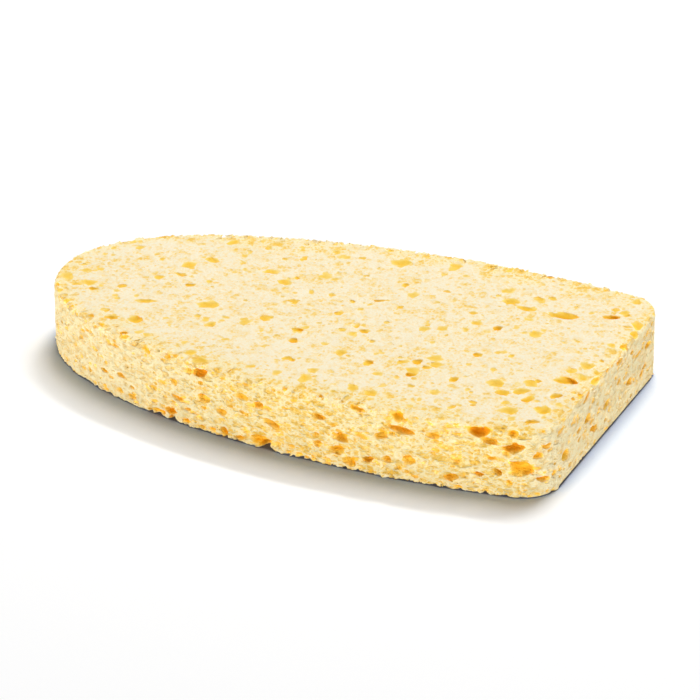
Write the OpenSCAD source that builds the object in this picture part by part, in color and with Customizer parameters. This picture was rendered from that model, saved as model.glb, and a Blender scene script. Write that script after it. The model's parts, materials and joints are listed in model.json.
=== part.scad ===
// Cleaning sponge: one block of cellulose sponge, cut with a rounded nose and a square back.
// The block lies flat on the origin, with its nose at -X, its square back at +X and +Z up.

/* [Block] */
// Length from the tip of the nose to the square back
length = 152; // [120:1:240]
// Width at the widest place
width = 89; // [60:1:140]
// Thickness between the two faces
thickness = 18.5; // [12:0.5:40]
// How far the widest place lies behind the middle
widest_back = 30; // [5:1:40]
// Fullness of the long sides, where 2 is an ellipse and more is squarer
fullness = 2.2; // [2:0.05:3]
// Radius of the two corners of the square back
corner_r = 10.5; // [5:0.5:14]
// Rounding where the faces meet the cut sides
edge_r = 1; // [0.4:0.1:2]

/* [Pores] */
// Length of the longest scattered pore
pore_long = 5.5; // [3:0.1:6.5]
// Length of the shortest scattered pore
pore_short = 1.8; // [1.2:0.1:2.6]
// Height of a pore over its length, because the sponge was pressed flat
pore_flatness = 0.5; // [0.3:0.05:0.7]
// Pores scattered over each face
face_pores = 95; // [0:1:110]
// Pores scattered around the cut sides
side_pores = 120; // [0:1:140]
// Clear distance around the middle of each face, where it is measured
clear_middle = 6; // [3:0.5:12]

/* [Hidden] */

// Corners of the outline from the nose to the widest place, from there to the back corner,
// and around the back corner
nose_steps = 26;
back_steps = 6;
corner_steps = 4;
// Corners around one pore, small and large
pore_corners = 6;
large_pore_corners = 8;
// Rings of corners that make a pore: height over half its height, and width over its widest
pore_rings = [[-0.85, 0.55], [0, 1], [0.85, 0.55]];
// How uneven the corners of a pore lie, as a part of its width
pore_uneven = 0.12;
// Width of a scattered face pore over its length, narrowest and widest
face_pore_width = [0.6, 1];
// How far a scattered side pore reaches into the sponge on both sides of the cut, over its length
side_pore_depth = [0.7, 1.1];
// Heights of the scattered side pores, as parts of the thickness
side_band = [0.05, 0.95];

// Steps of the even scatter: parts of a whole that never come around to the same place
step_a = 0.7549;
step_b = 0.5698;
step_c = 0.6180;
// How far a scattered pore strays from its even place, as a part of the face
stray = 0.06;
// Turns of the two numbers that make up a chance, and how finely the result is cut up
chance_turn = 78.233;
chance_kind_turn = 37.719;
chance_spread = 43758.5453;

// Quarter round of the edges in three steps: how far the outline is drawn in, and the height
// over the face, both as parts of edge_r
edge_steps = [[0, 1], [0.3, 0.3], [1, 0]];

// Distance from the tip of the nose to the widest place
nose_run = length / 2 + widest_back;
// Where the rounding of the back corners starts
corner_x = length / 2 - corner_r;

// Large pores of the upper face: place along and across as parts of the half length and of the
// half width there, then length, width and depth in mm, and the turn in degrees
top_large = [
    [-0.90, -0.10, 5.0, 4.6, 1.2, 80],
    [-0.66, -0.78, 4.4, 3.0, 1.3, 20],
    [-0.60, -0.36, 6.4, 3.0, 1.4, 10],
    [-0.60, 0.18, 5.4, 3.0, 1.2, 165],
    [-0.44, 0.52, 4.2, 2.6, 1.2, 0],
    [-0.16, 0.08, 5.4, 2.4, 1.1, 5],
    [0.02, -0.64, 4.0, 3.4, 1.5, 60],
    [0.14, 0.52, 4.6, 3.0, 1.3, 100],
    [0.26, -0.50, 4.2, 3.6, 2.0, 30],
    [0.40, -0.36, 4.2, 3.4, 1.6, 70],
    [0.56, 0.50, 8.8, 4.4, 1.3, 5],
    [0.70, 0.53, 10.0, 4.6, 1.9, 0],
    [0.90, -0.26, 8.0, 4.6, 2.0, 10],
    [0.75, -0.54, 5.2, 3.4, 1.5, 170],
    [0.86, -0.52, 6.6, 4.6, 1.7, 60],
    [0.91, -0.82, 4.8, 3.2, 1.7, 20],
    [0.92, 0.00, 5.2, 4.4, 1.4, 100],
    [0.57, 0.95, 3.4, 3.0, 2.2, 0],
];

// Large pores of the cut sides: place around the outline from the nose, as a part of one turn
// that starts along -Y, and height as a part of the thickness, then length, height and depth
side_large = [
    [0.15, 0.96, 3.8, 2.0, 1.8],
    [0.18, 0.88, 5.4, 2.8, 2.4],
    [0.15, 0.08, 4.8, 2.0, 2.2],
    [0.18, 0.50, 4.0, 2.4, 2.0],
    [0.22, 0.12, 6.4, 2.8, 2.6],
    [0.23, 0.42, 5.0, 2.2, 2.2],
    [0.28, 0.46, 4.8, 2.8, 2.4],
    [0.28, 0.24, 4.6, 2.4, 2.2],
    [0.32, 0.76, 7.4, 2.8, 2.8],
    [0.32, 0.30, 4.0, 2.4, 2.2],
    [0.37, 0.91, 5.8, 3.6, 2.8],
    [0.39, 0.74, 6.0, 3.4, 3.2],
    [0.395, 0.45, 6.4, 3.8, 3.4],
    [0.43, 0.40, 5.2, 3.2, 2.8],
    [0.47, 0.55, 6.0, 3.0, 2.8],
    [0.48, 0.94, 5.8, 2.2, 2.2],
    [0.54, 0.37, 5.4, 2.2, 2.4],
    [0.57, 0.62, 4.8, 2.2, 2.2],
    [0.66, 0.55, 6.0, 2.8, 2.6],
    [0.73, 0.30, 5.4, 2.6, 2.4],
    [0.80, 0.78, 6.2, 3.0, 2.6],
    [0.90, 0.45, 5.0, 2.4, 2.2],
];

// Part of a whole that remains after the last full turn
function part(v) = v - floor(v);
function between(range, v) = range[0] + (range[1] - range[0]) * v;

// Half the width of the block at x, with its faces drawn in by inset
function half_width(x, inset = 0) =
    (width / 2 - inset)
    * pow(max(0, 1 - pow((x - widest_back) / (nose_run - inset), 2)), 1 / fullness);

// One half of the outline: the long side from the nose, then the rounded back corner
function half_outline(inset) =
    let(
        run = nose_run - inset,
        radius = corner_r - inset,
        last = acos(-(corner_x - widest_back) / run),
        corner_y = half_width(corner_x, inset) - radius,
        angles = [
            for (i = [0 : nose_steps]) 90 * i / nose_steps,
            for (i = [1 : back_steps]) 90 + (last - 90) * i / back_steps,
        ]
    )
    [
        for (angle = angles)
            let(x = widest_back - run * cos(angle))
            [x, half_width(x, inset)],
        for (i = [1 : corner_steps])
            let(turn = 90 * i / corner_steps)
            [corner_x + radius * sin(turn), corner_y + radius * cos(turn)],
    ];

// The whole outline, from the nose along -Y to the back, and along +Y to the nose again
function outline(inset = 0) =
    let(half = half_outline(inset), n = len(half))
    [
        for (p = half) [p.x, -p.y],
        for (i = [1 : n - 1]) half[n - i],
    ];

// The outline's points, closed, with the way around to each of them
ring = concat(outline(), [outline()[0]]);
legs = [for (i = [1 : len(ring) - 1]) norm(ring[i] - ring[i - 1])];
ways = [for (i = 0, way = 0; i < len(ring); way = way + (i < len(legs) ? legs[i] : 0), i = i + 1) way];
turn_length = ways[len(ways) - 1];

// Place on the outline at a part of one turn, and the direction that the side runs there
function ring_point(turn) =
    let(way = part(turn) * turn_length)
    [
        lookup(way, [for (i = [0 : len(ring) - 1]) [ways[i], ring[i].x]]),
        lookup(way, [for (i = [0 : len(ring) - 1]) [ways[i], ring[i].y]]),
    ];
function ring_heading(turn) =
    let(step = ring_point(turn + 0.004) - ring_point(turn - 0.004))
    atan2(step.y, step.x);

// A number from 0 to 1 that looks random, and is always the same for the same two numbers
function chance(i, kind) = part(sin(i * chance_turn + kind * chance_kind_turn) * chance_spread);

// Length of the scattered pore with this number: many small ones and a few long ones
function scattered_length(i) = between([pore_short, pore_long], pow(part(i * step_c), 2));

// A flattened hollow cell: a ring of uneven corners at its middle, drawn in above and below
module cell(size, corners = pore_corners) {
    half = size / 2;
    points = [
        for (level = pore_rings, i = [0 : corners - 1])
            let(
                angle = 360 * i / corners,
                radius = level[1] * (1 + pore_uneven * sin(2 * angle + 40))
            )
            [half.x * radius * cos(angle), half.y * radius * sin(angle), half.z * level[0]],
    ];
    floor_face = [for (i = [0 : corners - 1]) i];
    roof_face = [for (i = [corners - 1 : -1 : 0]) 2 * corners + i];
    walls = [
        for (band = [0, 1], i = [0 : corners - 1])
            let(next = (i + 1) % corners, low = band * corners, high = low + corners)
            [low + i, high + i, high + next, low + next],
    ];
    polyhedron(points = points, faces = concat([floor_face], [roof_face], walls));
}

// One pore that opens in a face at height z
module face_pore(along, across, z, size, turn, corners = pore_corners) {
    x = along * length / 2;
    translate([x, across * half_width(x), z])
        rotate([0, 0, turn])
            cell(size, corners);
}

// One pore that opens in the cut sides
module side_pore(around, height, size, corners = pore_corners) {
    place = ring_point(around);
    translate([place.x, place.y, height * thickness])
        rotate([0, 0, ring_heading(around)])
            cell(size, corners);
}

// Pores spread over one face, clear of its middle
module scattered_face_pores(z, kind) {
    for (i = [1 : face_pores]) {
        along = 2 * part(i * step_a + stray * chance(i, kind)) - 1;
        across = 2 * part(i * step_b + stray * chance(i, kind + 1)) - 1;
        x = along * length / 2;
        y = across * width / 2;
        long = scattered_length(i);
        wide = long * between(face_pore_width, chance(i, kind + 2));
        inside = abs(y) < half_width(x) - edge_r;
        off_middle = norm([x, y]) > clear_middle + long / 2;
        if (inside && off_middle)
            face_pore(
                along,
                y / half_width(x),
                z,
                [long, wide, long * pore_flatness],
                360 * chance(i, kind + 3)
            );
    }
}

// Pores spread around the cut sides, lying flat as the sponge was pressed
module scattered_side_pores() {
    for (i = [1 : side_pores]) {
        long = scattered_length(i);
        deep = long * between(side_pore_depth, chance(i, 8));
        side_pore(
            (i + chance(i, 9)) / side_pores,
            between(side_band, part(i * step_b + stray * chance(i, 10))),
            [long, deep, long * pore_flatness]
        );
    }
}

// The block as it is cut, before its pores: the outline, drawn in a little at both faces
module block() {
    hull()
        for (step = edge_steps)
            let(inset = step[0] * edge_r, rise = step[1] * edge_r)
            translate([0, 0, rise])
                linear_extrude(thickness - 2 * rise)
                    polygon(outline(inset));
}

module sponge() {
    color([0.97, 0.86, 0.6])
        difference() {
            block();
            for (p = top_large)
                face_pore(p[0], p[1], thickness, [p[2], p[3], 2 * p[4]], p[5], large_pore_corners);
            for (p = side_large)
                side_pore(p[0], p[1], [p[2], 2 * p[4], p[3]], large_pore_corners);
            scattered_face_pores(thickness, 0);
            scattered_face_pores(0, 4);
            scattered_side_pores();
        }
}

sponge();
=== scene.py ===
# %% [markdown]
# # A cellulose cleaning sponge
# This lesson dresses one measured solid, a flat sponge with a rounded nose and a square back, so that it
# looks like the real thing. The solid gives the size. Everything that makes it look like sponge comes here:
# the open pores, the uneven skin, the colour that deepens inside each pore as painted shade and bounced
# light, the nose and the square end painted paler as painted light, and the light.

# %% Load the measured solid
import bmesh
import bpy
import json
import math
from collections import namedtuple
from mathutils import Matrix, Vector, noise
from mathutils.geometry import delaunay_2d_cdt

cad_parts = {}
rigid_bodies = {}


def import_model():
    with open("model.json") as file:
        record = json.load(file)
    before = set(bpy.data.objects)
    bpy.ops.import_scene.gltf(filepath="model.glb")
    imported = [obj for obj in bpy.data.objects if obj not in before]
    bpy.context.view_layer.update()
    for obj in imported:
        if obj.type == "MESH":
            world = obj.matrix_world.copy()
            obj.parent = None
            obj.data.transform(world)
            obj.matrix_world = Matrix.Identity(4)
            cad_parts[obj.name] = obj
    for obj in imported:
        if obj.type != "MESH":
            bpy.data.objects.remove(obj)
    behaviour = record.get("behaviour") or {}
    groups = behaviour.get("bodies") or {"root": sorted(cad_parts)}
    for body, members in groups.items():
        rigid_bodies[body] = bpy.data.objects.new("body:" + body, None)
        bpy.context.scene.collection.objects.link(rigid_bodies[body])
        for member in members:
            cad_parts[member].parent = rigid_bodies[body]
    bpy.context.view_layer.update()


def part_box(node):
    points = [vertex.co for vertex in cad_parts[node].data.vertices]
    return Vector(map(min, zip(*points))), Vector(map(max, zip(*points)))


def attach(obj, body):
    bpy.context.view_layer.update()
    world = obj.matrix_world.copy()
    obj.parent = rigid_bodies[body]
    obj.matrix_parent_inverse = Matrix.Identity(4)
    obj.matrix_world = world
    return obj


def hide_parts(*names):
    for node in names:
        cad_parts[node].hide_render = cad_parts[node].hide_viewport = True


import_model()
low, high = (Vector(corner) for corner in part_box("sponge"))
MM = 0.001
LENGTH = high.x - low.x
WIDTH = high.y - low.y
THICKNESS = high.z - low.z
print(f"sponge {LENGTH / MM:.1f} x {WIDTH / MM:.1f} x {THICKNESS / MM:.1f} mm")

# %% [markdown]
# ## The camera
# The camera stands in front of the long side and a little to the right, and looks down at a shallow angle
# through a long lens, so the edges hardly converge. The target lies a few millimetres beside the middle of
# the sponge, which puts the sponge a little low and left in the frame.

# %% Place the camera
AZIMUTH = math.radians(23.5)
ELEVATION = math.radians(26.75)
DISTANCE = 1340 * MM
LENS = 267.4
SENSOR = 36
NEAR_LIMIT = 0.05
FAR_LIMIT = 20
TARGET_RIGHT = 4.87 * MM
TARGET_UP = 7.2 * MM

right = Vector((math.cos(AZIMUTH), math.sin(AZIMUTH), 0))
level = math.cos(ELEVATION)
toward = Vector((math.sin(AZIMUTH) * level, -math.cos(AZIMUTH) * level, math.sin(ELEVATION)))
up = toward.cross(right)
target = right * TARGET_RIGHT + up * TARGET_UP

camera_data = bpy.data.cameras.new("camera")
camera_data.lens = LENS
camera_data.sensor_width = SENSOR
camera_data.clip_start = NEAR_LIMIT
camera_data.clip_end = FAR_LIMIT
camera = bpy.data.objects.new("camera", camera_data)
camera.location = target + toward * DISTANCE
camera.rotation_euler = Matrix((right, up, toward)).transposed().to_euler()
bpy.context.scene.collection.objects.link(camera)
bpy.context.scene.camera = camera
print(f"camera {DISTANCE:.2f} m away, lens {LENS:.0f} mm")

# %% [markdown]
# ## The slab
# The sponge is cut from a sheet with a knife, so its outline is a clean curve: half an ellipse towards the
# nose, a gentle taper behind the widest place, and two rounded corners. A curve drawn by hand could follow
# it too, but a formula keeps it exact, and it gives the width at any place. The slab is built from it as
# rings of points up the cut side and a fine triangle net over both faces. The net is there so that the faces
# can be made slightly uneven, as a dried sponge is. Near the rim that can fold a few triangles of the net
# over, so they are eased back towards their plain place for a fixed number of rounds.

# %% The outline as a formula
WIDEST_BACK = 30 * MM
FULLNESS = 2.2
CORNER_R = 10.5 * MM
EDGE_R = 1 * MM
NOSE_RUN = LENGTH / 2 + WIDEST_BACK


def half_width(x, inset=0.0):
    """Half the width of the slab at x, with its outline drawn in by inset."""
    reach = 1 - ((x - WIDEST_BACK) / (NOSE_RUN - inset)) ** 2
    return (WIDTH / 2 - inset) * max(reach, 0) ** (1 / FULLNESS)


def outline(inset=0.0, side_steps=300, corner_steps=20):
    """Corners of the outline, from the nose along -Y to the back and along +Y to the nose again."""
    run = NOSE_RUN - inset
    radius = CORNER_R - inset
    corner_x = LENGTH / 2 - CORNER_R
    last = math.acos(-(corner_x - WIDEST_BACK) / run)
    corner_y = half_width(corner_x, inset) - radius
    half = []
    for i in range(side_steps + 1):
        x = WIDEST_BACK - run * math.cos(last * i / side_steps)
        half.append((x, half_width(x, inset)))
    for i in range(1, corner_steps + 1):
        turn = math.pi / 2 * i / corner_steps
        half.append((corner_x + radius * math.sin(turn), corner_y + radius * math.cos(turn)))
    return [(x, -y) for x, y in half] + [(x, y) for x, y in reversed(half[1:])]


ring = outline()
ring_way = [0.0]
for a, b in zip(ring, ring[1:] + ring[:1]):
    ring_way.append(ring_way[-1] + math.dist(a, b))
print(f"outline of {len(ring)} corners, {ring_way[-1] / MM:.0f} mm around")

# %% Make a plain slab uneven
SAG = 0.35 * MM
SAG_SIZE = 26 * MM
TEETH = 1.0 * MM
TEETH_SIZE = 0.7 * MM
TEETH_SEED = 7
SIDE_TEETH = 0.3
LOWEST_TOOTH = 0.05 * MM
RIM = 1.1 * MM
# noise.noise_vector starts from the clock's time unless a seed is set
noise.seed_set(TEETH_SEED)


def uneven(place):
    """Where a point of the plain slab lies on a pressed, cut and dried one."""
    swell = 0.5 + 0.5 * noise.noise(place / SAG_SIZE)
    edge = max(0.0, 1 - min(place.z, THICKNESS - place.z) / RIM)
    on_side = abs(place.y) > half_width(place.x) - RIM or place.x > LENGTH / 2 - RIM
    moved = place.copy()
    moved.z -= SAG * swell * place.z / THICKNESS
    if on_side:
        moved += noise.noise_vector(place / TEETH_SIZE) * TEETH * (SIDE_TEETH + edge)
        moved.x *= 1 - SAG * swell / LENGTH
        moved.y *= 1 - SAG * swell / WIDTH
    lowest = 0.0 if place.z == 0 else LOWEST_TOOTH
    moved.z = min(max(moved.z, lowest), THICKNESS)
    return moved


corner = Vector((0, -WIDTH / 2, THICKNESS))
print(f"a point of the rim moves {(uneven(corner) - corner).length / MM:.2f} mm")

# %% Lay out the rings and the net
SIDE_ROWS = 5
ROUNDING_STEPS = (0, 30, 60)
FACE_NET = 3.5 * MM
NET_MARGIN = 3 * MM


def side_levels():
    """How far the outline is drawn in, and the height, for each ring of the slab from below to above."""
    rounding = [math.radians(step) for step in ROUNDING_STEPS]
    lower = [(EDGE_R * (1 - math.sin(a)), EDGE_R * (1 - math.cos(a))) for a in rounding]
    upper = [(inset, THICKNESS - height) for inset, height in reversed(lower)]
    span = THICKNESS - 2 * EDGE_R
    middle = [(0.0, EDGE_R + span * i / SIDE_ROWS) for i in range(SIDE_ROWS + 1)]
    return lower + middle + upper


def face_net(edge):
    """Points of a triangle net that fills an outline: the outline itself, then rows inside it."""
    points = [Vector(p) for p in edge]
    row_step = FACE_NET * math.sqrt(0.75)
    rows = int(WIDTH / 2 / row_step)
    columns = int(LENGTH / FACE_NET) + 1
    for row in range(-rows, rows + 1):
        for column in range(columns):
            x = -LENGTH / 2 + FACE_NET * (column + 0.5 * (row % 2))
            y = row * row_step
            if abs(x) < LENGTH / 2 - NET_MARGIN and abs(y) < half_width(x) - NET_MARGIN:
                points.append(Vector((x, y)))
    return points


print(f"{len(side_levels())} rings up the side")

# %% Build the slab
INSIDE_ONLY = 1
NET_TOLERANCE = 1e-7
FLAT_NORMAL = 0.5
FOLDED = 0.15
UNFOLD_ROUNDS = 10
UNFOLD_STEP = 0.3


def plain_slab():
    """A closed mesh of the sponge before it dries and its pores are open."""
    mesh = bmesh.new()
    rings = []
    for inset, height in side_levels():
        rings.append([mesh.verts.new((x, y, height)) for x, y in outline(inset)])
    count = len(rings[0])
    for lower, upper in zip(rings, rings[1:]):
        for i in range(count):
            j = (i + 1) % count
            mesh.faces.new((lower[i], lower[j], upper[j], upper[i]))
    for own, height, flip in ((rings[0], 0.0, True), (rings[-1], THICKNESS, False)):
        points = face_net([v.co.xy for v in own])
        border = [(i, (i + 1) % count) for i in range(count)]
        net = delaunay_2d_cdt(points, border, [], INSIDE_ONLY, NET_TOLERANCE)
        verts = list(own) + [mesh.verts.new((p.x, p.y, height)) for p in net[0][count:]]
        for face in net[2]:
            corners = [verts[i] for i in face]
            mesh.faces.new(reversed(corners) if flip else corners)
    bmesh.ops.recalc_face_normals(mesh, faces=mesh.faces)
    return mesh


def dry(mesh):
    """Makes the slab uneven, and eases the triangles of its faces back where they fold over."""
    home = {vert: vert.co.copy() for vert in mesh.verts}
    plain = {face: face.normal.copy() for face in mesh.faces if abs(face.normal.z) > FLAT_NORMAL}
    for vert in mesh.verts:
        vert.co = uneven(vert.co)
    for turn in range(UNFOLD_ROUNDS):
        mesh.normal_update()
        folded = [face for face, normal in plain.items() if face.normal.dot(normal) < FOLDED]
        for vert in {vert for face in folded for vert in face.verts}:
            vert.co = vert.co.lerp(home[vert], UNFOLD_STEP)
    print(f"folded faces after the last round: {len(folded)}")


slab_mesh = plain_slab()
dry(slab_mesh)
data = bpy.data.meshes.new("slab")
slab_mesh.to_mesh(data)
slab_mesh.free()
slab = bpy.data.objects.new("slab", data)
bpy.context.scene.collection.objects.link(slab)
print(f"slab of {len(data.polygons)} faces")

# %% [markdown]
# ## The shapes of the pores
# Cellulose is set around salt crystals that are washed out later, and the wet sponge is pressed flat. Each
# pore is therefore a lumpy hollow, about as wide as it is long but only half as tall or less. A bump in the
# finish would look flat from the side, so each pore is really cut. A few lumpy balls are enough for that:
# every pore takes one of them, with its own turn and size. Large pores get fine balls, and the smallest get
# coarse ones, because there are thousands of them.

# %% Make lumpy balls
SHAPE_SEED = 40
SEED_SHIFT = (7.3, 3.1, 5.7)
BROAD_LUMPS = 0.9
FINE_LUMPS = 2.3
FINE_SHARE = 0.5


def lumpy_ball(name, sides, bands, lump, seed):
    """A closed ball of radius 1 whose surface swells and sinks."""
    mesh = bmesh.new()
    bmesh.ops.create_uvsphere(mesh, u_segments=sides, v_segments=bands, radius=1)
    bmesh.ops.triangulate(mesh, faces=mesh.faces)
    shift = Vector([seed * step for step in SEED_SHIFT])
    for vert in mesh.verts:
        broad = noise.noise(vert.co * BROAD_LUMPS + shift)
        fine = noise.noise(vert.co * FINE_LUMPS + shift)
        vert.co *= 1 + lump * (broad + FINE_SHARE * fine)
    data = bpy.data.meshes.new(name)
    mesh.to_mesh(data)
    mesh.free()
    return bpy.data.objects.new(name, data)


def ball_set(name, sides, bands, lump, count):
    """A collection of lumpy balls that the pores choose from."""
    group = bpy.data.collections.new(name)
    bpy.context.scene.collection.children.link(group)
    for i in range(count):
        group.objects.link(lumpy_ball(f"{name}_{i}", sides, bands, lump, SHAPE_SEED + i))
    return group


BALLS = {
    "large": ball_set("large_pores", 15, 9, 0.5, 6),
    "middle": ball_set("middle_pores", 8, 5, 0.5, 9),
    "small": ball_set("small_pores", 5, 4, 0.35, 9),
}

# %% [markdown]
# ## The pores that give this sponge its face
# Some pores are large enough to know the sponge by, and a rule would never put them in the right place. So
# they are listed one by one: on the upper face by how far along and across they lie, and on the cut side by
# the way around from the nose and the height. All places are parts of the whole, and the sizes are in
# millimetres.

# %% List the large pores
# along, across, length, width, depth, turn in degrees
UPPER_PORES = (
    (-0.90, -0.10, 5.0, 4.6, 0.8, 80),
    (-0.89, -0.52, 3.6, 2.4, 0.9, 20),
    (-0.82, -0.46, 3.0, 2.2, 0.8, 0),
    (-0.90, 0.78, 3.0, 3.0, 0.8, 0),
    (-0.71, -0.72, 3.0, 2.2, 1.0, 30),
    (-0.66, -0.78, 4.4, 3.0, 1.2, 20),
    (-0.60, -0.36, 6.4, 2.6, 1.1, 10),
    (-0.60, 0.18, 5.4, 2.8, 1.0, 165),
    (-0.53, 0.04, 3.4, 2.6, 1.0, 10),
    (-0.71, 0.44, 2.6, 2.6, 0.8, 0),
    (-0.44, 0.52, 4.4, 2.2, 1.0, 0),
    (-0.26, 0.68, 2.6, 3.8, 1.1, 10),
    (-0.22, 0.39, 2.6, 2.8, 1.1, 0),
    (-0.17, 0.08, 4.8, 2.2, 1.1, 8),
    (-0.06, -0.27, 3.0, 2.6, 1.0, 0),
    (-0.04, -0.42, 3.2, 3.0, 1.1, 30),
    (0.01, -0.64, 4.0, 3.2, 1.3, 60),
    (-0.01, 0.57, 2.6, 2.2, 0.9, 0),
    (0.14, 0.52, 3.2, 4.4, 1.1, 0),
    (0.29, 0.55, 3.0, 2.6, 0.9, 0),
    (0.11, 0.28, 3.6, 1.7, 0.9, 20),
    (0.19, 0.25, 2.4, 2.2, 0.9, 0),
    (0.11, -0.07, 2.6, 3.0, 1.0, 30),
    (0.16, -0.12, 3.4, 3.2, 1.0, 0),
    (0.26, -0.49, 3.8, 3.6, 1.8, 30),
    (0.40, -0.36, 3.6, 3.6, 1.3, 70),
    (0.42, -0.52, 3.0, 2.8, 1.3, 0),
    (0.56, -0.48, 3.0, 3.2, 1.2, 0),
    (0.33, 0.10, 2.6, 2.2, 0.9, 0),
    (0.38, 0.91, 3.0, 2.2, 0.9, 0),
    (0.57, 0.51, 8.6, 4.2, 1.0, 5),
    (0.70, 0.53, 10.0, 4.2, 1.7, 0),
    (0.87, 0.64, 4.0, 3.2, 1.4, 10),
    (0.55, 0.22, 3.2, 2.8, 1.5, 0),
    (0.46, 0.12, 3.4, 2.2, 0.9, 0),
    (0.90, -0.26, 8.0, 4.4, 1.8, 8),
    (0.82, -0.33, 3.2, 3.2, 1.1, 0),
    (0.91, -0.47, 4.6, 3.8, 1.5, 60),
    (0.84, -0.56, 4.6, 3.2, 1.2, 60),
    (0.75, -0.54, 5.2, 3.2, 1.4, 170),
    (0.69, -0.73, 2.6, 2.2, 1.1, 0),
    (0.92, -0.67, 3.4, 3.2, 1.3, 40),
    (0.92, 0.00, 5.2, 4.2, 0.9, 100),
    (0.91, -0.83, 4.8, 2.8, 1.4, 20),
    (0.57, -0.14, 3.2, 2.8, 0.9, 0),
    (0.67, -0.07, 2.6, 2.6, 0.9, 0),
    (0.93, 0.13, 3.4, 1.8, 0.9, 0),
    (0.95, 0.57, 3.0, 1.8, 0.9, 0),
    (0.57, 0.96, 3.0, 3.0, 2.0, 0),
)
# way around, height, length, height of the pore, depth
SIDE_PORES = (
    (0.112, 0.80, 2.4, 1.4, 1.2),
    (0.138, 0.95, 3.4, 1.8, 1.5),
    (0.156, 0.96, 2.6, 2.0, 1.5),
    (0.182, 0.88, 5.2, 2.8, 2.4),
    (0.173, 0.86, 2.6, 1.5, 1.4),
    (0.161, 0.61, 2.8, 1.5, 1.2),
    (0.164, 0.38, 5.0, 1.5, 1.6),
    (0.183, 0.51, 3.8, 2.4, 2.0),
    (0.149, 0.07, 4.8, 1.8, 2.2),
    (0.159, 0.14, 4.0, 2.4, 1.8),
    (0.199, 0.10, 3.2, 2.4, 2.2),
    (0.197, 0.38, 3.2, 1.8, 1.6),
    (0.223, 0.65, 3.2, 2.4, 2.0),
    (0.224, 0.13, 6.4, 2.6, 2.4),
    (0.233, 0.42, 5.0, 2.0, 2.0),
    (0.266, 0.70, 4.0, 1.8, 1.6),
    (0.280, 0.46, 4.6, 2.6, 2.2),
    (0.277, 0.26, 4.6, 2.4, 2.0),
    (0.290, 0.94, 4.4, 1.8, 1.8),
    (0.292, 0.56, 4.0, 1.5, 1.4),
    (0.285, 0.12, 4.0, 2.2, 1.8),
    (0.298, 0.22, 3.4, 2.0, 1.8),
    (0.310, 0.28, 2.8, 2.0, 1.8),
    (0.316, 0.94, 3.8, 2.6, 2.0),
    (0.318, 0.76, 7.4, 2.6, 2.6),
    (0.323, 0.33, 3.4, 2.4, 2.0),
    (0.339, 0.76, 3.6, 1.8, 1.6),
    (0.368, 0.91, 5.8, 3.4, 2.6),
    (0.361, 0.96, 3.0, 1.5, 1.4),
    (0.388, 0.95, 3.2, 1.8, 1.8),
    (0.388, 0.74, 6.0, 3.2, 3.2),
    (0.393, 0.46, 6.4, 3.6, 3.2),
    (0.379, 0.36, 2.6, 1.8, 2.2),
    (0.368, 0.29, 3.0, 1.4, 1.6),
    (0.404, 0.63, 3.4, 1.8, 1.8),
    (0.410, 0.74, 2.8, 1.5, 1.4),
    (0.407, 0.27, 4.2, 1.8, 2.2),
    (0.386, 0.23, 1.8, 1.5, 1.4),
    (0.432, 0.40, 5.0, 3.0, 2.4),
    (0.466, 0.90, 5.0, 1.8, 1.8),
    (0.469, 0.55, 5.8, 2.6, 2.2),
    (0.479, 0.29, 4.4, 1.8, 1.8),
    (0.483, 0.96, 5.8, 1.8, 1.8),
    (0.499, 0.44, 4.4, 2.0, 2.0),
    (0.521, 0.87, 4.4, 1.6, 1.6),
    (0.532, 0.97, 3.8, 1.8, 1.6),
    (0.539, 0.37, 5.2, 2.0, 2.2),
    (0.550, 0.97, 3.8, 2.0, 1.8),
    (0.559, 0.28, 3.2, 2.2, 2.0),
    (0.569, 0.62, 4.6, 1.8, 2.0),
)
# bites out of the lower edge, in the same way
LOWER_BITES = (
    (0.142, 0.0, 2.0, 2.6, 2.5),
    (0.160, 0.0, 2.6, 3.6, 3.2),
    (0.200, 0.0, 2.0, 4.0, 3.2),
    (0.228, 0.0, 3.8, 4.6, 3.6),
    (0.282, 0.0, 1.8, 2.0, 2.2),
    (0.340, 0.0, 1.6, 1.8, 2.2),
    (0.372, 0.0, 1.4, 1.4, 2.0),
    (0.415, 0.0, 1.6, 1.8, 2.0),
    (0.452, 0.0, 2.4, 1.6, 2.2),
    (0.505, 0.0, 2.0, 1.6, 2.2),
    (0.61, 0.0, 2.2, 2.2, 2.4),
    (0.70, 0.0, 2.8, 2.4, 2.6),
    (0.83, 0.0, 2.4, 3.0, 2.6),
)
print(f"{len(UPPER_PORES)} pores above, {len(SIDE_PORES)} in the side, {len(LOWER_BITES)} bites below")

# %% Work out where the listed pores lie
FACE_LIFT = 0.5
FACE_DEPTH = 0.5
SIDE_LIFT = 0.25
LISTED_TILT = 0.22
UPPER_TILT_STEP = 12.9
SIDE_TILT_STEP = 7.7


def ring_place(turn):
    """The point of the outline at a part of one turn, and the direction in which it runs there."""
    way = turn % 1 * ring_way[-1]
    i = max(k for k in range(len(ring)) if ring_way[k] <= way)
    start = Vector(ring[i])
    end = Vector(ring[(i + 1) % len(ring)])
    place = start.lerp(end, (way - ring_way[i]) / (ring_way[i + 1] - ring_way[i]))
    return place, math.atan2(end.y - start.y, end.x - start.x)


def sunk_ball(opening, depth, lift):
    """Half width, half height and rise of a ball that leaves this opening and depth in a flat surface."""
    tall = depth / (1 - lift)
    return opening / 2 / math.sqrt(1 - lift ** 2), tall, tall * lift


def upper_pore(number, along, across, length, width, depth, turn):
    """Place, half size and turn of a listed pore in the upper face, in metres and radians."""
    x = along * LENGTH / 2
    depth *= FACE_DEPTH
    half_length, tall, above = sunk_ball(length * MM, depth * MM, FACE_LIFT)
    half_across = sunk_ball(width * MM, depth * MM, FACE_LIFT)[0]
    place = Vector((x, across * half_width(x), THICKNESS + above))
    tilt = LISTED_TILT * math.sin(UPPER_TILT_STEP * number)
    return place, Vector((half_length, half_across, tall)), Vector((tilt, -tilt, math.radians(turn)))


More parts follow.
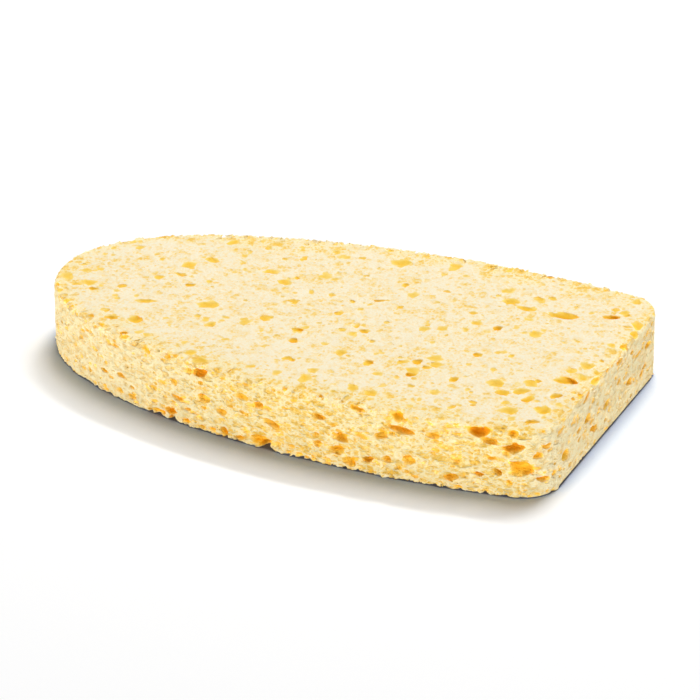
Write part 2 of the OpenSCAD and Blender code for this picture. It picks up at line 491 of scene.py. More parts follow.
def side_pore(number, around, height, length, tall, depth):
    """The same for a listed pore in the cut side."""
    place, heading = ring_place(around)
    half_length, deep, above = sunk_ball(length * MM, depth * MM, SIDE_LIFT)
    half_tall = sunk_ball(tall * MM, depth * MM, SIDE_LIFT)[0]
    place += Vector((math.sin(heading), -math.cos(heading))) * above
    tilt = LISTED_TILT * math.sin(SIDE_TILT_STEP * number)
    size = Vector((half_length, deep, half_tall))
    return Vector((*place, height * THICKNESS)), size, Vector((0, tilt, heading))


listed = [upper_pore(i, *row) for i, row in enumerate(UPPER_PORES)]
listed += [side_pore(i, *row) for i, row in enumerate(SIDE_PORES + LOWER_BITES)]
places, sizes, turns = zip(*listed)
data = bpy.data.meshes.new("known_pores")
data.from_pydata(list(places), [], [])
for label, values in (("pore_size", sizes), ("pore_turn", turns)):
    column = data.attributes.new(label, "FLOAT_VECTOR", "POINT")
    for item, value in zip(column.data, values):
        item.vector = value
known = bpy.data.objects.new("known_pores", data)
bpy.context.scene.collection.objects.link(known)
print(f"{len(listed)} pores placed one by one")

# %% [markdown]
# ## The tree that cuts the pores
# All other pores are scattered by rule, so Geometry Nodes place them: points are spread over the slab, each
# takes a lumpy ball, and one boolean takes all the balls out of the slab. Carving them by hand would give
# the same look far more slowly. Each family of pores has its density and its shortest and longest pore as
# named inputs of the tree, and one more input holds the listed pores.

# %% Helpers that build a tree
def new_tree(name, inputs):
    """A geometry tree with a geometry socket at both ends and the given named inputs."""
    tree = bpy.data.node_groups.new(name, "GeometryNodeTree")
    tree.interface.new_socket("Geometry", in_out="INPUT", socket_type="NodeSocketGeometry")
    tree.interface.new_socket("Geometry", in_out="OUTPUT", socket_type="NodeSocketGeometry")
    for label, kind in inputs:
        tree.interface.new_socket(label, in_out="INPUT", socket_type=kind)
    return tree


def socket_of(node, key):
    """An input by its number, or the first live one with this name."""
    if isinstance(key, str):
        return next(socket for socket in node.inputs if socket.enabled and socket.name == key)
    return node.inputs[key]


def add(tree, kind, values=None, **settings):
    """A node with its settings made and its sockets set or linked."""
    node = tree.nodes.new(kind)
    for key, value in settings.items():
        setattr(node, key, value)
    for key, value in (values or {}).items():
        if isinstance(value, bpy.types.NodeSocket):
            tree.links.new(value, socket_of(node, key))
        else:
            socket_of(node, key).default_value = value
    return node


def out(node, name=None):
    """The first live output of a node, or the one with this name."""
    return next(socket for socket in node.outputs if socket.enabled and name in (None, socket.name))


print("a tree is made with new_tree and add, and its nodes are read with out")

# %% Helpers that reckon in a tree
def math_of(tree, operation, a, b=0.0, c=0.0):
    """One sum with up to three numbers."""
    return out(add(tree, "ShaderNodeMath", {0: a, 1: b, 2: c}, operation=operation))


def rest_of(tree, share):
    """What a share leaves of 1."""
    return math_of(tree, "SUBTRACT", 1.0, share)


def weighted(tree, parts):
    """The sum of some numbers, each times its weight."""
    total = 0.0
    for value, weight in parts:
        total = math_of(tree, "MULTIPLY_ADD", value, weight, total)
    return total


def vector_of(tree, operation, a, b):
    """One sum with two vectors."""
    return out(add(tree, "ShaderNodeVectorMath", {0: a, 1: b}, operation=operation))


def scaled(tree, vector, factor):
    """A vector times a number."""
    return out(add(tree, "ShaderNodeVectorMath", {0: vector, "Scale": factor}, operation="SCALE"))


def axis_of(tree, vector, axis):
    """One of the three numbers of a vector."""
    return out(add(tree, "ShaderNodeSeparateXYZ", {0: vector}), axis)


def upright(tree, normal):
    """1 where a normal points straight up or down, and 0 where it is level."""
    return math_of(tree, "ABSOLUTE", axis_of(tree, normal, "Z"))


def drawn(tree, seed, least, most, kind="FLOAT"):
    """A number or a vector that is drawn anew for each point."""
    values = {"Min": least, "Max": most, "Seed": seed}
    return out(add(tree, "FunctionNodeRandomValue", values, data_type=kind))


print("sums, vectors and random draws are ready")

# %% Helpers that place the balls
def stored_vector(tree, name):
    """A vector that the points carry."""
    return out(add(tree, "GeometryNodeInputNamedAttribute", {"Name": name}, data_type="FLOAT_VECTOR"))


def shape_of(tree, source):
    """The geometry of an object that is an input of the tree."""
    node = add(tree, "GeometryNodeObjectInfo", {"Object": source}, transform_space="ORIGINAL")
    return out(node, "Geometry")


def put_balls(tree, points, balls, which, turn, size):
    """A ball of one set on each point, picked by number."""
    shapes = add(tree, "GeometryNodeCollectionInfo", {
        "Collection": BALLS[balls],
        "Separate Children": True,
        "Reset Children": True,
    })
    return out(add(tree, "GeometryNodeInstanceOnPoints", {
        "Points": points,
        "Instance": out(shapes),
        "Pick Instance": True,
        "Instance Index": which,
        "Rotation": turn,
        "Scale": size,
    }))


# %% List the families of scattered pores
# name, faces, side or rim, balls, pores per square cm, shortest and longest in mm, how rare the long ones
# are, height over length, and how far the middle may lie from the surface, over the height
Family = namedtuple("Family", "name where balls density shortest longest rarity flatness lift")
FAMILIES = (
    Family("face_dish", "face", "middle", 1.0, 2.6, 7.0, 1.6, 0.22, (0.35, 0.75)),
    Family("face_pit", "face", "middle", 1.6, 1.4, 3.2, 1.8, 0.25, (0.1, 0.6)),
    Family("face_speck", "face", "small", 4.0, 0.7, 1.5, 1.4, 0.3, (0.2, 0.6)),
    Family("side_hollow", "side", "middle", 1.6, 2.6, 4.6, 1.8, 0.42, (-0.1, 0.4)),
    Family("side_cell", "side", "middle", 12.0, 1.2, 2.8, 1.4, 0.46, (0.0, 0.55)),
    Family("side_speck", "side", "small", 30.0, 0.6, 1.4, 1.3, 0.5, (0.0, 0.5)),
    Family("rim_bite", "rim", "small", 10.0, 0.8, 2.4, 2.0, 0.6, (0.0, 0.5)),
)
PER_CM2 = 10000
INPUT_UNITS = {"density": PER_CM2, "shortest": MM, "longest": MM}
print("families:", ", ".join(family.name for family in FAMILIES))

# %% Scatter one family
RIM_NORMAL = 0.98
# added to the seed of a family, so that each draw is its own
DRAWS = {"length": 100, "width": 200, "lift": 300, "turn": 400, "tilt": 500, "shape": 600}
NARROWEST = 0.65
SCATTERED_TILT = 0.15


def part_of_slab(tree, where):
    """True where a family of pores opens: on both faces, on the cut side or along the rims."""
    steep = upright(tree, out(add(tree, "GeometryNodeInputNormal")))
    if where == "face":
        return math_of(tree, "GREATER_THAN", steep, FLAT_NORMAL)
    if where == "side":
        return math_of(tree, "LESS_THAN", steep, FLAT_NORMAL)
    height = axis_of(tree, out(add(tree, "GeometryNodeInputPosition")), "Z")
    from_middle = math_of(tree, "ABSOLUTE", math_of(tree, "SUBTRACT", height, THICKNESS / 2))
    near_face = math_of(tree, "GREATER_THAN", from_middle, THICKNESS / 2 - RIM)
    return math_of(tree, "MULTIPLY", near_face, math_of(tree, "LESS_THAN", steep, RIM_NORMAL))


def scatter(tree, tree_in, family, seed):
    """The branch of the tree that places one family of pores over the slab."""
    density, shortest, longest = (out(tree_in, f"{family.name} {value}") for value in INPUT_UNITS)
    spread = add(tree, "GeometryNodeDistributePointsOnFaces", {
        "Mesh": out(tree_in, "Geometry"),
        "Selection": part_of_slab(tree, family.where),
        "Density": density,
        "Seed": seed,
    })
    grown = math_of(tree, "POWER", drawn(tree, seed + DRAWS["length"], 0.0, 1.0), family.rarity)
    length = math_of(tree, "MULTIPLY_ADD", grown, math_of(tree, "SUBTRACT", longest, shortest), shortest)
    half = math_of(tree, "DIVIDE", length, 2.0)
    wide = math_of(tree, "MULTIPLY", half, drawn(tree, seed + DRAWS["width"], NARROWEST, 1.0))
    tall = math_of(tree, "MULTIPLY", half, family.flatness)
    size = out(add(tree, "ShaderNodeCombineXYZ", {"X": half, "Y": wide, "Z": tall}))

    reach = tall if family.where == "face" else half
    rise = math_of(tree, "MULTIPLY", drawn(tree, seed + DRAWS["lift"], *family.lift), reach)
    lifted = add(tree, "GeometryNodeSetPosition", {
        "Geometry": out(spread, "Points"),
        "Offset": scaled(tree, out(spread, "Normal"), rise),
    })
    turn = drawn(tree, seed + DRAWS["turn"], 0.0, 2 * math.pi)
    most = Vector((SCATTERED_TILT, SCATTERED_TILT, 0.0))
    tilt = drawn(tree, seed + DRAWS["tilt"], -most, most, "FLOAT_VECTOR")
    heading = vector_of(tree, "ADD", tilt, out(add(tree, "ShaderNodeCombineXYZ", {"Z": turn})))
    last_ball = len(BALLS[family.balls].objects) - 1
    which = drawn(tree, seed + DRAWS["shape"], 0, last_ball, "INT")
    return put_balls(tree, out(lifted), family.balls, which, heading, size)


print(f"each pore of a family takes {len(DRAWS)} random draws")

# %% Build the tree that cuts
KEEP_ISLAND = 2000

family_inputs = [f"{family.name} {value}" for family in FAMILIES for value in INPUT_UNITS]
cutting = new_tree("open_the_pores", [(label, "NodeSocketFloat") for label in family_inputs] + [
    ("Known pores", "NodeSocketObject"),
])
cutting_in = add(cutting, "NodeGroupInput")
cut = add(cutting, "GeometryNodeMeshBoolean", {
    0: out(cutting_in, "Geometry"),
}, operation="DIFFERENCE", solver="MANIFOLD")
known_balls = put_balls(
    cutting, shape_of(cutting, out(cutting_in, "Known pores")), "large",
    out(add(cutting, "GeometryNodeInputIndex")),
    stored_vector(cutting, "pore_turn"), stored_vector(cutting, "pore_size"),
)
cutting.links.new(known_balls, cut.inputs[1])
for number, family in enumerate(FAMILIES):
    cutting.links.new(scatter(cutting, cutting_in, family, number + 1), cut.inputs[1])

# crumbs that the cut sets free are small islands of the mesh
points_of_island = add(cutting, "GeometryNodeAccumulateField", {
    "Value": 1,
    "Group ID": out(add(cutting, "GeometryNodeInputMeshIsland"), "Island Index"),
}, data_type="INT", domain="POINT")
is_crumb = add(cutting, "FunctionNodeCompare", {
    "A": out(points_of_island, "Total"),
    "B": KEEP_ISLAND,
}, data_type="INT", operation="LESS_THAN")
clean = add(cutting, "GeometryNodeDeleteGeometry", {
    "Geometry": out(cut),
    "Selection": out(is_crumb),
}, domain="POINT")
real = add(cutting, "GeometryNodeRealizeInstances", {"Geometry": out(clean)})
add(cutting, "NodeGroupOutput", {0: out(real)})
print(f"cutting tree of {len(cutting.nodes)} nodes")

# %% [markdown]
# ## The tree that measures the depth
# Deeper in a pore the colour is painted darker and more golden, as painted shade and bounced light, and a
# material can't know how deep a point lies.
# So a second tree compares the cut mesh with the slab before the cut. It stores three numbers on each point:
# how deep the point lies under the old surface, whether that surface was a pressed face or the cut side, and
# how far in from the cut side it is. Painting them by hand wouldn't follow the pores.

# %% Build the tree that measures
def store(tree, geometry, name, value):
    """The geometry with one more number on each point."""
    return out(add(tree, "GeometryNodeStoreNamedAttribute", {
        "Geometry": geometry,
        "Name": name,
        "Value": value,
    }, data_type="FLOAT", domain="POINT"))


def distance_mm(tree, geometry):
    """How far each point lies from the nearest face of a geometry."""
    near = add(tree, "GeometryNodeProximity", {"Geometry": geometry}, target_element="FACES")
    return math_of(tree, "DIVIDE", out(near, "Distance"), MM)


measuring = new_tree("measure_the_depth", [("Slab", "NodeSocketObject"), ("Finish", "NodeSocketMaterial")])
measuring_in = add(measuring, "NodeGroupInput")
whole = shape_of(measuring, out(measuring_in, "Slab"))
slab_normal = out(add(measuring, "GeometryNodeInputNormal"))
nearest_normal = out(add(measuring, "GeometryNodeSampleNearestSurface", {
    "Mesh": whole,
    "Value": slab_normal,
}, data_type="FLOAT_VECTOR"))
cut_side = out(add(measuring, "GeometryNodeDeleteGeometry", {
    "Geometry": whole,
    "Selection": math_of(measuring, "GREATER_THAN", upright(measuring, slab_normal), FLAT_NORMAL),
}, domain="FACE"))

measured = store(measuring, out(measuring_in, "Geometry"), "depth", distance_mm(measuring, whole))
measured = store(measuring, measured, "skin", upright(measuring, nearest_normal))
measured = store(measuring, measured, "inland", distance_mm(measuring, cut_side))
real = add(measuring, "GeometryNodeRealizeInstances", {"Geometry": measured})
dressed = add(measuring, "GeometryNodeSetMaterial", {
    "Geometry": out(real),
    "Material": out(measuring_in, "Finish"),
})
add(measuring, "NodeGroupOutput", {0: out(dressed)})
print(f"measuring tree of {len(measuring.nodes)} nodes")

# %% [markdown]
# ## The finish
# Dry cellulose is matt and slightly see-through. The pressed faces are pale cream and wear off towards the
# rim, the cut sides are warmer, and the nose and the square end are painted a little paler again, as painted
# light. Inside each pore the colour is painted golden, then orange, with the stored depth, as painted shade
# and light bounced about inside the pore. Pores too fine to cut are patterns that raise the surface and tint
# their hollows golden as painted shade, and the fibrous grain tints and raises it too. A photograph wrapped
# round the block would show its own light, so every pattern here is worked out from the place on the sponge.

# %% Helpers for the finish
def colour(red, green, blue):
    """A display colour, from 0 to 255, as the linear colour that a shader takes."""
    def linear(v):
        v /= 255
        return v / 12.92 if v <= 0.04045 else ((v + 0.055) / 1.055) ** 2.4
    return (linear(red), linear(green), linear(blue), 1)


def ramp(tree, factor, stops):
    """A colour that goes from stop to stop as a factor grows."""
    node = add(tree, "ShaderNodeValToRGB", {"Fac": factor})
    elements = node.color_ramp.elements
    while len(elements) < len(stops):
        elements.new(0.5)
    for element, (place, tint) in zip(elements, stops):
        element.position = place
        element.color = tint
    return out(node, "Color")


def mixed(tree, factor, below, above):
    """One colour laid over another by a factor."""
    return out(add(tree, "ShaderNodeMix", {"Factor": factor, 6: below, 7: above}, data_type="RGBA"), "Result")


def between(tree, value, start, end, least=0.0, most=1.0, way="LINEAR"):
    """The least up to a start, the most from an end, and a straight or a smooth step between them."""
    values = {"Value": value, "From Min": start, "From Max": end, "To Min": least, "To Max": most}
    return out(add(tree, "ShaderNodeMapRange", values, interpolation_type=way))


def stored_number(tree, name):
    """A number that the mesh carries."""
    return out(add(tree, "ShaderNodeAttribute", attribute_name=name), "Fac")


def clouds(tree, place, scale, detail, roughness, output=None):
    """Soft noise with so many waves to the metre."""
    values = {"Vector": place, "Scale": scale, "Detail": detail, "Roughness": roughness}
    return out(add(tree, "ShaderNodeTexNoise", values), output)


def cells(tree, place, size, feature):
    """Cells of one size that fill all the room."""
    values = {"Vector": place, "Scale": 1 / size, "Randomness": 1.0}
    return add(tree, "ShaderNodeTexVoronoi", values, feature=feature)


print("warm cream as a shader takes it:", [round(part, 3) for part in colour(250, 236, 190)])

# %% Start the finish with the places and the stored numbers
WARP_SCALE = 700.0
WARP_REACH = 0.9 * MM
PRESSED = 2.0
PATCH_SCALE = 120.0
GRAIN_SCALE = 2400.0
DEEPEST = 3.0

cellulose = bpy.data.materials.new("cellulose_sponge")
cellulose.use_nodes = True
finish = cellulose.node_tree
shader = finish.nodes["Principled BSDF"]
place = out(add(finish, "ShaderNodeTexCoord"), "Object")
warp = clouds(finish, place, WARP_SCALE, 1.0, 0.5, "Color")
strayed = scaled(finish, vector_of(finish, "SUBTRACT", warp, (0.5, 0.5, 0.5)), WARP_REACH)
pressed = out(add(finish, "ShaderNodeMapping", {
    "Vector": vector_of(finish, "ADD", place, strayed),
    "Scale": (1.0, 1.0, PRESSED),
}))
patch = clouds(finish, place, PATCH_SCALE, 2.0, 0.55)
grain = clouds(finish, pressed, GRAIN_SCALE, 2.0, 0.6)
depth = math_of(finish, "DIVIDE", stored_number(finish, "depth"), DEEPEST)
skin = stored_number(finish, "skin")
inland = stored_number(finish, "inland")
print(f"pores and grain are pressed to 1/{PRESSED:.0f} of their height")

# %% Lay out the fine hollows
SMALLEST_BOWL = 0.12
BOWL_RANGE = 0.62
BOWL_SLOPE = 0.35
WALL_SLOPE = 0.2
# size, how rare the large ones are, how strongly they tint the surface with painted shade, how deep they look
BOWLS = (
    (3.2 * MM, 1.2, 0.4, 2.0),
    (1.9 * MM, 0.8, 0.5, 1.0),
    (1.0 * MM, 0.8, 0.45, 0.5),
)
WALLED_SIZE = 1.3 * MM
WALLED_PAINTED_SHADE = 0.27
WALLED_DEPTH = 0.5


def bowls(tree, place, size, rarity):
    """Hollows too small to cut, one in each cell: 1 in the middle of a large one and 0 between them."""
    pattern = cells(tree, place, size, "F1")
    chance = out(add(tree, "ShaderNodeSeparateColor", {"Color": out(pattern, "Color")}), "Red")
    radius = math_of(tree, "MULTIPLY_ADD", math_of(tree, "POWER", chance, rarity), BOWL_RANGE, SMALLEST_BOWL)
    inside = math_of(tree, "SUBTRACT", radius, out(pattern, "Distance"))
    return between(tree, inside, 0.0, BOWL_SLOPE, way="SMOOTHSTEP")


def walled(tree, place, size):
    """Cells that fill all the room: 0 on the thin walls between them and 1 inside."""
    pattern = cells(tree, place, size, "DISTANCE_TO_EDGE")
    return between(tree, out(pattern, "Distance"), 0.0, WALL_SLOPE, way="SMOOTHSTEP")


hollows = [(bowls(finish, pressed, size, rarity), tint, sunk) for size, rarity, tint, sunk in BOWLS]
hollows.append((walled(finish, pressed, WALLED_SIZE), WALLED_PAINTED_SHADE, WALLED_DEPTH))
print(f"{len(hollows)} patterns of fine hollows")

# %% Colour the surface
SKIN_CREAM = colour(248, 237, 210)
CUT_CREAM = colour(250, 236, 190)
# GOLD and DEEP_GOLD colour both the random grain and tone and the painted shade in the fine hollows
GOLD = colour(248, 214, 123)
DEEP_GOLD = colour(244, 194, 78)
GOLD_RANGE = (0.0, 0.6)
DEEP_GOLD_RANGE = (0.5, 1.1)
WORN_RIM = 5.0
WORN_SKIN = 0.2
SKIN_PALER = 0.45
PATCH_RANGE = (0.35, 0.65)
PATCH_TINTS = (0.7, 1.2)
GRAIN_TINT = 0.7

wear = math_of(finish, "MULTIPLY_ADD", patch, -2 * WORN_RIM, inland)
unworn = between(finish, wear, -WORN_RIM, 0.0)
pale = math_of(finish, "MULTIPLY", skin, between(finish, unworn, 0.0, 1.0, WORN_SKIN, 1.0))
# Gold in the fine hollows is painted shade; the grain and the patches add gold at random as the sponge's own
# tone
golden_tone_and_painted_shade = weighted(finish, [(hollow, tint) for hollow, tint, sunk in hollows])
golden_tone_and_painted_shade = math_of(finish, "MULTIPLY", golden_tone_and_painted_shade, between(finish, patch, *PATCH_RANGE, *PATCH_TINTS))
golden_tone_and_painted_shade = math_of(finish, "MULTIPLY", golden_tone_and_painted_shade, math_of(finish, "MULTIPLY_ADD", pale, -SKIN_PALER, 1.0))
golden_tone_and_painted_shade = math_of(finish, "ADD", golden_tone_and_painted_shade, math_of(finish, "MULTIPLY_ADD", grain, GRAIN_TINT, -GRAIN_TINT / 2))
surface = mixed(finish, pale, CUT_CREAM, SKIN_CREAM)
surface = mixed(finish, between(finish, golden_tone_and_painted_shade, *GOLD_RANGE), surface, GOLD)
surface = mixed(finish, between(finish, golden_tone_and_painted_shade, *DEEP_GOLD_RANGE), surface, DEEP_GOLD)
print(f"the skin wears off over {WORN_RIM:.0f} mm from the rim")

# %% Colour the pores with painted shade, and the nose and the square end with painted light
FACE_DEEPENS = 2.0
MOUTH = (0.01, 0.15)
# the part of the deepest pore, and the painted shade colour there
PAINTED_PORE_SHADE = (
    (0.0, colour(253, 230, 164)),
    (0.1, colour(251, 220, 126)),
    (0.3, colour(250, 206, 84)),
    (0.6, colour(247, 192, 54)),
    (1.0, colour(241, 172, 32)),
)
ENDS_PAINTED_LIGHT_CREAM = colour(248, 239, 206)
END_PAINTED_LIGHT = 0.5
END_FADE = (LENGTH / 2 - 6 * MM, LENGTH / 2 - 1.5 * MM)
NOSE_PAINTED_LIGHT = 0.35
NOSE_FADE = (-5 * MM, -40 * MM)

# Painted shade and bounce light: the colour deepens to gold and orange with depth, faster on the pressed
# faces
painted_shade_depth = math_of(finish, "MULTIPLY", depth, math_of(finish, "MULTIPLY_ADD", skin, FACE_DEEPENS, 1.0))
painted_shade_share = between(finish, painted_shade_depth, *MOUTH, way="SMOOTHSTEP")
body = mixed(finish, painted_shade_share, surface, ramp(finish, painted_shade_depth, PAINTED_PORE_SHADE))
# Painted light: the nose and the square end are painted paler, but not on the pressed faces or inside the
# pores
along = axis_of(finish, place, "X")
nose_painted_light = math_of(finish, "MULTIPLY", between(finish, along, *NOSE_FADE), NOSE_PAINTED_LIGHT)
ends_painted_light = math_of(finish, "MULTIPLY_ADD", between(finish, along, *END_FADE), END_PAINTED_LIGHT, nose_painted_light)
ends_painted_light = math_of(finish, "MULTIPLY", ends_painted_light, rest_of(finish, skin))
ends_painted_light = math_of(finish, "MULTIPLY", ends_painted_light, rest_of(finish, painted_shade_share))
finish.links.new(mixed(finish, ends_painted_light, body, ENDS_PAINTED_LIGHT_CREAM), shader.inputs["Base Color"])
print(f"{len(PAINTED_PORE_SHADE)} colours from the mouth of a pore to its floor")

# %% Raise the relief and let light under the surface
SKIN_SMOOTHER = 0.7
GRAIN_HEIGHT = 0.6
RELIEF = 0.22 * MM
ROUGHNESS = 0.9
SHINE = 0.15
SOAKED = (0.22, 0.85)
SOAKED_FROM = 0.1
LIGHT_REACH = 2.0 * MM
LIGHT_SPREAD = (1.0, 0.7, 0.4)

hollow = weighted(finish, [(hollow, sunk) for hollow, tint, sunk in hollows])
hollow = math_of(finish, "MULTIPLY", hollow, math_of(finish, "MULTIPLY_ADD", skin, -SKIN_SMOOTHER, 1.0))
height = math_of(finish, "SUBTRACT", math_of(finish, "MULTIPLY", grain, GRAIN_HEIGHT), hollow)
bump = add(finish, "ShaderNodeBump", {"Height": height, "Strength": 1.0, "Distance": RELIEF})
finish.links.new(out(bump), shader.inputs["Normal"])
shader.inputs["Roughness"].default_value = ROUGHNESS
shader.inputs["Specular IOR Level"].default_value = SHINE
soaked = between(finish, depth, 0.0, SOAKED_FROM, *SOAKED, way="SMOOTHSTEP")
finish.links.new(soaked, shader.inputs["Subsurface Weight"])
shader.subsurface_method = "BURLEY"
shader.inputs["Subsurface Radius"].default_value = LIGHT_SPREAD
shader.inputs["Subsurface Scale"].default_value = LIGHT_REACH
print(f"finish of {len(finish.nodes)} nodes")

# %% [markdown]
# ## Run the trees
# Each tree runs once, as a modifier, and its result is copied into a plain mesh. Each input is set by its
# identifier, because two inputs could share a name. The cut leaves more triangles than a piece should have,
# so the mesh is thinned out, which the eye doesn't notice among so many pores. Two small faults are mended
# on the way: edges that four faces share, and pairs of faces that lie back to back. Last, the shading is
# evened so that thin triangles don't show.

# %% Helpers for the meshes
def set_input(modifier, label, value):
    """Sets a named input of a modifier's tree by its identifier."""
    for item in modifier.node_group.interface.items_tree:
        if item.item_type == "SOCKET" and item.in_out == "INPUT" and item.name == label:
            modifier[item.identifier] = value


def evaluated_mesh(obj, name):
    """A plain copy of an object's mesh, with its modifiers applied."""
    bpy.context.view_layer.update()
    graph = bpy.context.evaluated_depsgraph_get()
    result = bpy.data.meshes.new_from_object(obj.evaluated_get(graph))
    result.name = name
    return result


def triangle_count(mesh):
    """How many triangles the faces of a mesh make."""
    return sum(len(face.vertices) - 2 for face in mesh.polygons)


print(f"slab of {triangle_count(slab.data)} triangles before the cut")

# %% Helpers that mend the cut
def part_shared_edges(solid):
    """Gives each pair of faces its own edge, where two flat faces are split along one line and four meet."""
    parted = 0
    for edge in [edge for edge in solid.edges if len(edge.link_faces) > 2]:
        start, end = edge.verts
        ahead = [f for f in edge.link_faces if next(l for l in f.loops if l.edge == edge).vert == start]
        back = [f for f in edge.link_faces if f not in ahead]
        for near in ahead[1:]:
            far = max(back, key=lambda face: face.normal.dot(near.normal))
            back.remove(far)
            near_tip, far_tip = (next(v for v in face.verts if v not in edge.verts) for face in (near, far))
            solid.faces.remove(near)
            solid.faces.remove(far)
            parted += 1
            if near_tip == far_tip:
                continue
            middle = solid.verts.new((start.co + end.co) / 2)
            for first, second, tip in (
                (start, middle, near_tip),
                (middle, end, near_tip),
                (end, middle, far_tip),
                (middle, start, far_tip),
            ):
                solid.faces.new((first, second, tip)).normal_update()
    bmesh.ops.delete(solid, geom=[edge for edge in solid.edges if not edge.link_faces], context="EDGES")
    return parted


def drop_doubled_faces(solid):
    """Thinning out can leave two triangles on the same three corners. They enclose nothing, so both go."""
    by_corners = {}
    for face in solid.faces:
        by_corners.setdefault(frozenset(face.verts), []).append(face)
    doubled = [face for faces in by_corners.values() if len(faces) > 1 for face in faces]
    bmesh.ops.delete(solid, geom=doubled, context="FACES")
    return len(doubled)


print("the mesh is mended after the cut and again after it is thinned out")

# %% Cut the pores
modifier = slab.modifiers.new("open_the_pores", "NODES")
modifier.node_group = cutting
for family in FAMILIES:
    for value, unit in INPUT_UNITS.items():
        set_input(modifier, f"{family.name} {value}", getattr(family, value) * unit)
set_input(modifier, "Known pores", known)
cut_mesh = evaluated_mesh(slab, "sponge_cut")
slab.modifiers.clear()
solid = bmesh.new()
solid.from_mesh(cut_mesh)
bmesh.ops.triangulate(solid, faces=solid.faces)
print("edges with more than two faces:", part_shared_edges(solid))
solid.to_mesh(cut_mesh)
solid.free()
print(f"cut slab of {triangle_count(cut_mesh)} triangles")

# %% Thin out the mesh and measure the depth
MOST_TRIANGLES = 198000

sponge = bpy.data.objects.new("sponge_block", cut_mesh)
bpy.context.scene.collection.objects.link(sponge)
thin = sponge.modifiers.new("thin_out", "DECIMATE")
thin.ratio = min(1.0, MOST_TRIANGLES / triangle_count(cut_mesh))
modifier = sponge.modifiers.new("measure_the_depth", "NODES")
modifier.node_group = measuring
set_input(modifier, "Slab", slab)
set_input(modifier, "Finish", cellulose)
mesh = evaluated_mesh(sponge, "sponge_block")
sponge.modifiers.clear()
sponge.data = mesh
solid = bmesh.new()
solid.from_mesh(mesh)
print("faces taken out in pairs:", drop_doubled_faces(solid))
print("edges without two faces:", sum(1 for edge in solid.edges if not edge.is_manifold))
solid.to_mesh(mesh)
solid.free()

# %% Clear the helpers away and even the shading
SHARP_ANGLE = math.radians(50)

for used in (slab, known):
    bpy.data.objects.remove(used)
for group in BALLS.values():
    for used in list(group.objects):
        bpy.data.objects.remove(used)
    bpy.data.collections.remove(group)
mesh.polygons.foreach_set("use_smooth", [True] * len(mesh.polygons))
mesh.set_sharp_from_angle(angle=SHARP_ANGLE)
even = sponge.modifiers.new("even_shading", "WEIGHTED_NORMAL")
even.keep_sharp = True
mesh = evaluated_mesh(sponge, "sponge_block")
sponge.modifiers.clear()
sponge.data = mesh
print(f"sponge block of {triangle_count(mesh)} triangles")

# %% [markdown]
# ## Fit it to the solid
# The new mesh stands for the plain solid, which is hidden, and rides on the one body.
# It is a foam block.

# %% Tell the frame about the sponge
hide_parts("sponge")
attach(sponge, "root")
print(f"{sponge.name} stands for the solid")

# %% [markdown]
# ## The table
# The sponge lies on a white table in a bright studio. A plain white plane would turn yellow beside the
# sponge, where light from the cut side falls on it. So a painted shadow is laid into the colour that the
# camera
# sees: a cool grey that darkens with how much of the light's direction the sponge hides, which darkens the
# shadow and takes the yellow out of it. The plane lies a hair below the sponge, so that the two flat faces
# never flicker.

# %% Mix the colour of the table, with a painted shadow
FLOOR_BOUNCE = (0.85, 0.85, 0.85, 1)
SHADE_SIDE = (-0.1, 0.93, 0.35)
SHADE_REACH = 40 * MM
SHADE_RAYS = 16
# how much of the view towards the lamp the sponge hides, and the painted shadow colour of the table there
PAINTED_SHADOW_TINTS = (
    (0.0, (1.0, 1.0, 1.0, 1)),
    (0.30, (0.97, 0.98, 1.0, 1)),
    (0.43, (0.71, 0.80, 0.96, 1)),
    (0.53, (0.51, 0.63, 0.95, 1)),
    (0.57, (0.31, 0.40, 0.74, 1)),
    (0.62, (0.17, 0.22, 0.42, 1)),
)


def seen_directly(tree):
    """1 for rays that show a surface to the camera: straight, in a reflection or through glass."""
    rays = add(tree, "ShaderNodeLightPath")
    both = math_of(tree, "MAXIMUM", out(rays, "Is Camera Ray"), out(rays, "Is Glossy Ray"))
    return math_of(tree, "MAXIMUM", both, out(rays, "Is Transmission Ray"))


table = bpy.data.materials.new("table")
table.use_nodes = True
painted_shadow_nodes = table.node_tree
# Painted shadow: where the sponge hides the view towards the lamp, the table's colour is darkened and cooled
painted_shadow_mask = add(painted_shadow_nodes, "ShaderNodeAmbientOcclusion", {
    "Distance": SHADE_REACH,
    "Normal": SHADE_SIDE,
}, samples=SHADE_RAYS)
painted_shadow = ramp(painted_shadow_nodes, rest_of(painted_shadow_nodes, out(painted_shadow_mask, "AO")), PAINTED_SHADOW_TINTS)
matt = painted_shadow_nodes.nodes["Principled BSDF"]
painted_shadow_nodes.links.new(mixed(painted_shadow_nodes, seen_directly(painted_shadow_nodes), FLOOR_BOUNCE, painted_shadow), matt.inputs["Base Color"])
matt.inputs["Roughness"].default_value = 1.0
matt.inputs["Specular IOR Level"].default_value = 0.0
print(f"the table is tinted within {SHADE_REACH / MM:.0f} mm of the sponge")

# %% Lay the table
FLOOR_HALF = 3.0
FLOOR_GAP = 0.03 * MM
FLOOR_SIGNS = ((-1, -1), (1, -1), (1, 1), (-1, 1))

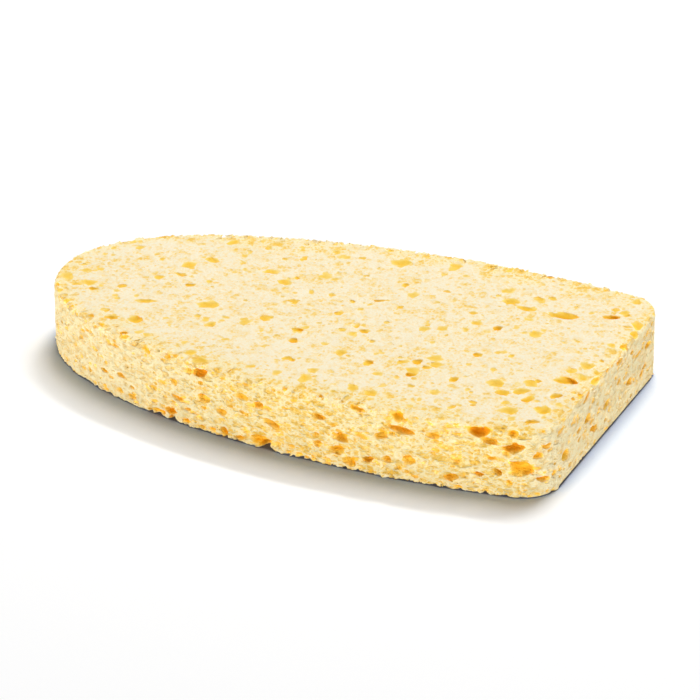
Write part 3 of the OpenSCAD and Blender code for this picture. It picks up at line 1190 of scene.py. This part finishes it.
floor_mesh = bpy.data.meshes.new("table")
corners = [(x * FLOOR_HALF, y * FLOOR_HALF, -FLOOR_GAP) for x, y in FLOOR_SIGNS]
floor_mesh.from_pydata(corners, [], [tuple(range(len(corners)))])
floor_mesh.materials.append(table)
floor = bpy.data.objects.new("table", floor_mesh)
bpy.context.scene.collection.objects.link(floor)
print(f"table {2 * FLOOR_HALF:.0f} m wide")

# %% [markdown]
# ## The light
# A narrow lamp behind the sponge gives the crisp edge of the shadow in front, and a large soft panel above
# makes that shadow fade outwards. Three panels stand low at the table's edge, in front and at both sides,
# and light the cut side without washing out the shadow. A sky alone would light everything evenly and leave
# no shadow, so it only adds a little.

# %% Light it
SKY_STRENGTH = 0.1
# name, direction from the sponge, distance, power, width, height
LAMPS = (
    ("narrow_back_lamp", (0.11, 0.72, 1.0), 2.4, 20.0, 0.9, 0.14),
    ("soft_top_panel", (-0.03, 0.42, 1.0), 3.0, 62.0, 1.1, 1.75),
    ("low_front_panel", (-0.4, -1.0, 0.06), 2.6, 64.5, 4.8, 0.24),
    ("low_left_panel", (-1.0, -0.25, 0.06), 2.6, 9.0, 0.8, 0.24),
    ("low_right_panel", (1.0, -0.3, 0.06), 2.6, 27.0, 0.8, 0.24),
)


def lamp(name, direction, distance, power, wide, tall):
    """A flat rectangular lamp in a direction from the sponge, facing it."""
    light = bpy.data.lights.new(name, "AREA")
    light.energy = power
    light.shape = "RECTANGLE"
    light.size = wide
    light.size_y = tall
    light_object = bpy.data.objects.new(name, light)
    direction = Vector(direction)
    light_object.location = direction.normalized() * distance
    light_object.rotation_euler = direction.to_track_quat("Z", "Y").to_euler()
    light_object.visible_camera = False
    bpy.context.scene.collection.objects.link(light_object)


for row in LAMPS:
    lamp(*row)
world = bpy.data.worlds.new("studio")
world.use_nodes = True
sky = world.node_tree
backdrop = sky.nodes["Background"]
strength = between(sky, seen_directly(sky), 0.0, 1.0, SKY_STRENGTH, 1.0)
sky.links.new(strength, backdrop.inputs["Strength"])
backdrop.inputs["Color"].default_value = (1, 1, 1, 1)
bpy.context.scene.world = world
bpy.context.scene.view_settings.view_transform = "Standard"
print(f"{len(LAMPS)} lamps and a white sky")
